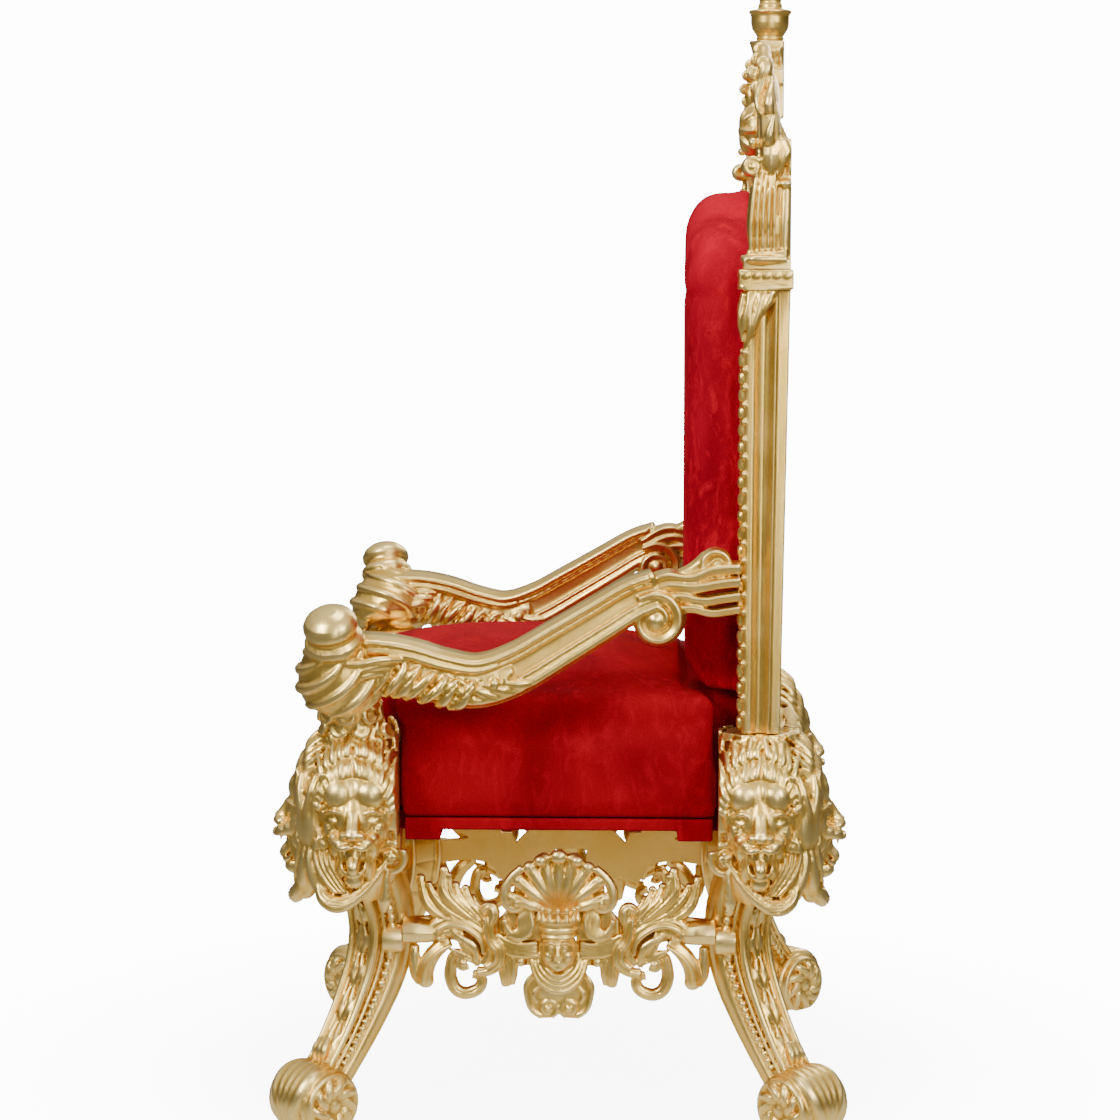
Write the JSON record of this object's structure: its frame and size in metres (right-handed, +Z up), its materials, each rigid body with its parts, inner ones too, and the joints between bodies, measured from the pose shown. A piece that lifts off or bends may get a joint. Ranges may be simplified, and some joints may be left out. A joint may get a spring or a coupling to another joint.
{
  "type": "carved throne chair",
  "caption": "Tall gilt throne with lion-mask legs on scroll feet, pierced mask aprons, scrolled arms, a carved crest with an urn, and red velvet seat and back.",
  "frame": {"origin": "on the floor under the middle of the four feet", "axes": "+Z up, -Y towards the front of the seat, +X towards the sitter's left"},
  "size_m": [0.944, 0.8888, 1.8004],
  "materials": {
    "gilt": "metallic gold paint over carving, satin, browner in the hollows",
    "gilt_board": "metallic gold paint on a plain board, duller than the carving",
    "velvet": "crushed red velvet"
  },
  "bodies": {
    "root": {"front_left_leg": "gilt", "front_right_leg": "gilt", "rear_left_leg": "gilt", "rear_right_leg": "gilt", "left_arm": "gilt", "right_arm": "gilt", "left_back_post": "gilt", "right_back_post": "gilt", "front_apron": "gilt", "left_apron": "gilt", "rear_apron": "gilt", "right_apron": "gilt", "crest": "gilt", "urn_finial": "gilt", "back_panel": "gilt_board", "seat_cushion": "velvet", "seat_rail": "velvet", "back_pad": "velvet"}
  },
  "joints": []
}
